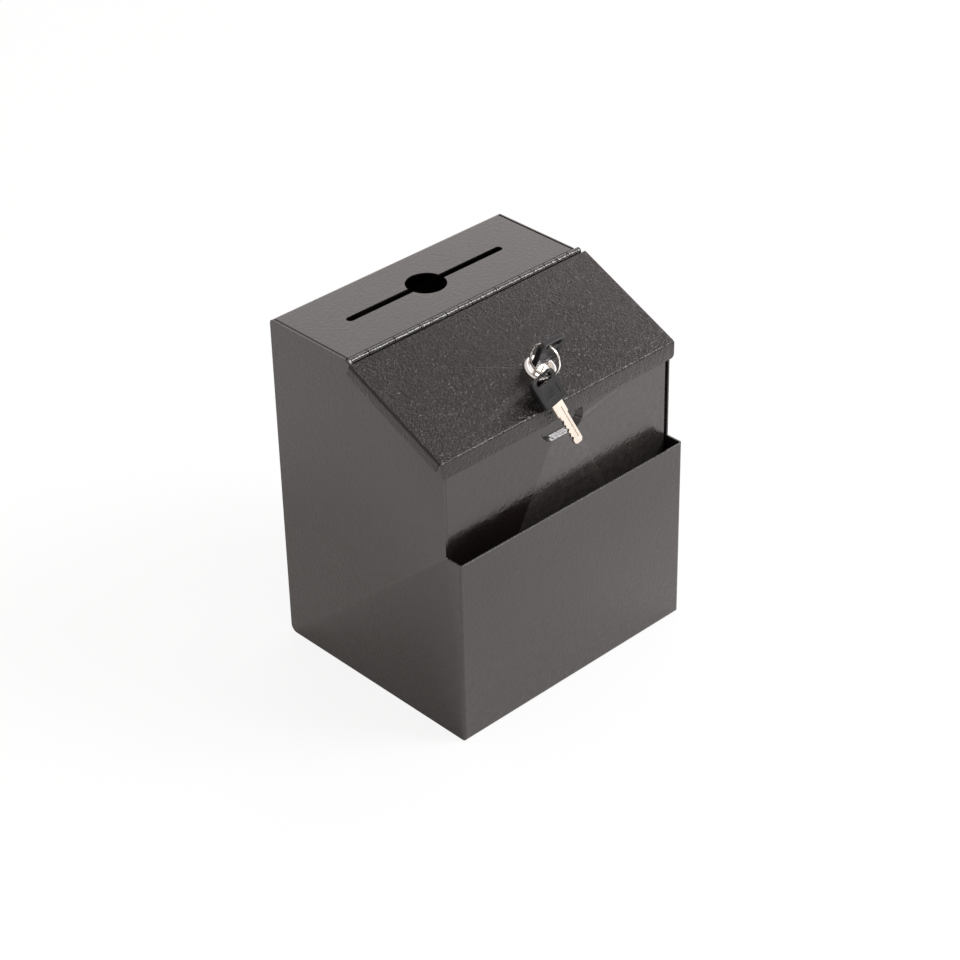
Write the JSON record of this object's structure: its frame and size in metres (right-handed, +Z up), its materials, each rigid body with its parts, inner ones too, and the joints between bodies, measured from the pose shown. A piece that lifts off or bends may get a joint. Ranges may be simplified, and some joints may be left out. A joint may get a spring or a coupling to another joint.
{
  "type": "donation box",
  "caption": "Lockable sheet-steel donation box with a money slot and coin hole in the top, a sloping hinged lid with a cam lock and keys, and a card pocket in front.",
  "frame": {"origin": "centre of the base, on the face it stands on", "axes": "+Z up, -Y towards the front with the card pocket, +X to the right seen from the front"},
  "size_m": [0.1846, 0.1576, 0.2218],
  "materials": {
    "black_powder_coat": "semi-gloss, fine orange peel",
    "black_textured_lid": "semi-gloss, coarse texture",
    "black_hinge": "satin paint over steel",
    "zinc_plate": "bright zinc plate",
    "steel_pin": "drawn wire",
    "chrome": "polished chrome",
    "brass": "stamped",
    "nickel_key": "nickel plated, milled",
    "nickel_ring": "bright nickel",
    "black_plastic": "moulded, satin"
  },
  "bodies": {
    "root": {"outer_shell": "black_powder_coat", "core_shell": "black_powder_coat", "front_panel": "black_powder_coat", "strike_plate": "zinc_plate", "hinge_leaf_fixed": "black_hinge", "hinge_pin": "steel_pin"},
    "lid": {"lid": "black_textured_lid", "hinge_leaf_lid": "black_hinge", "lock_housing": "chrome", "lock_washer": "zinc_plate", "lock_nut": "zinc_plate"},
    "plug": {"lock_plug": "chrome", "wafers": "brass", "wafer_springs": "steel_pin", "lock_cam": "zinc_plate", "cam_washer": "zinc_plate", "cam_screw": "zinc_plate"},
    "key": {"key_blade": "nickel_key", "key_head": "black_plastic"},
    "ring": {"key_ring": "nickel_ring"},
    "spare_key": {"spare_key_blade": "nickel_key", "spare_key_head": "black_plastic"}
  },
  "joints": [
    {"name": "lid_hinge", "type": "hinge", "parent": "root", "child": "lid", "pos_m": [0, 0.00832, 0.21615], "axis": [-1, 0, 0], "range_deg": [0, 140]},
    {"name": "plug_turn", "type": "hinge", "parent": "lid", "child": "plug", "pos_m": [-0.0007, -0.04691, 0.19239], "axis": [0, -0.4083, 0.9128], "range_deg": [0, 90]},
    {"name": "key_slide", "type": "slide", "parent": "plug", "child": "key", "axis": [0, -0.4083, 0.9128], "range_m": [0, 0.0165]},
    {"name": "ring_slip", "type": "hinge", "parent": "key", "child": "ring", "pos_m": [-0.00531, -0.05781, 0.20915], "axis": [-0.9688, -0.2299, 0.0924], "range_deg": [0, 45]},
    {"name": "spare_key_swing", "type": "hinge", "parent": "ring", "child": "spare_key", "pos_m": [-0.0057, -0.05983, 0.20008], "axis": [0, 0.866, -0.5], "range_deg": [-20, 25]}
  ],
  "couplings": [
    {"joint": "ring_slip", "follows": "plug_turn", "ratio": 0.5}
  ]
}
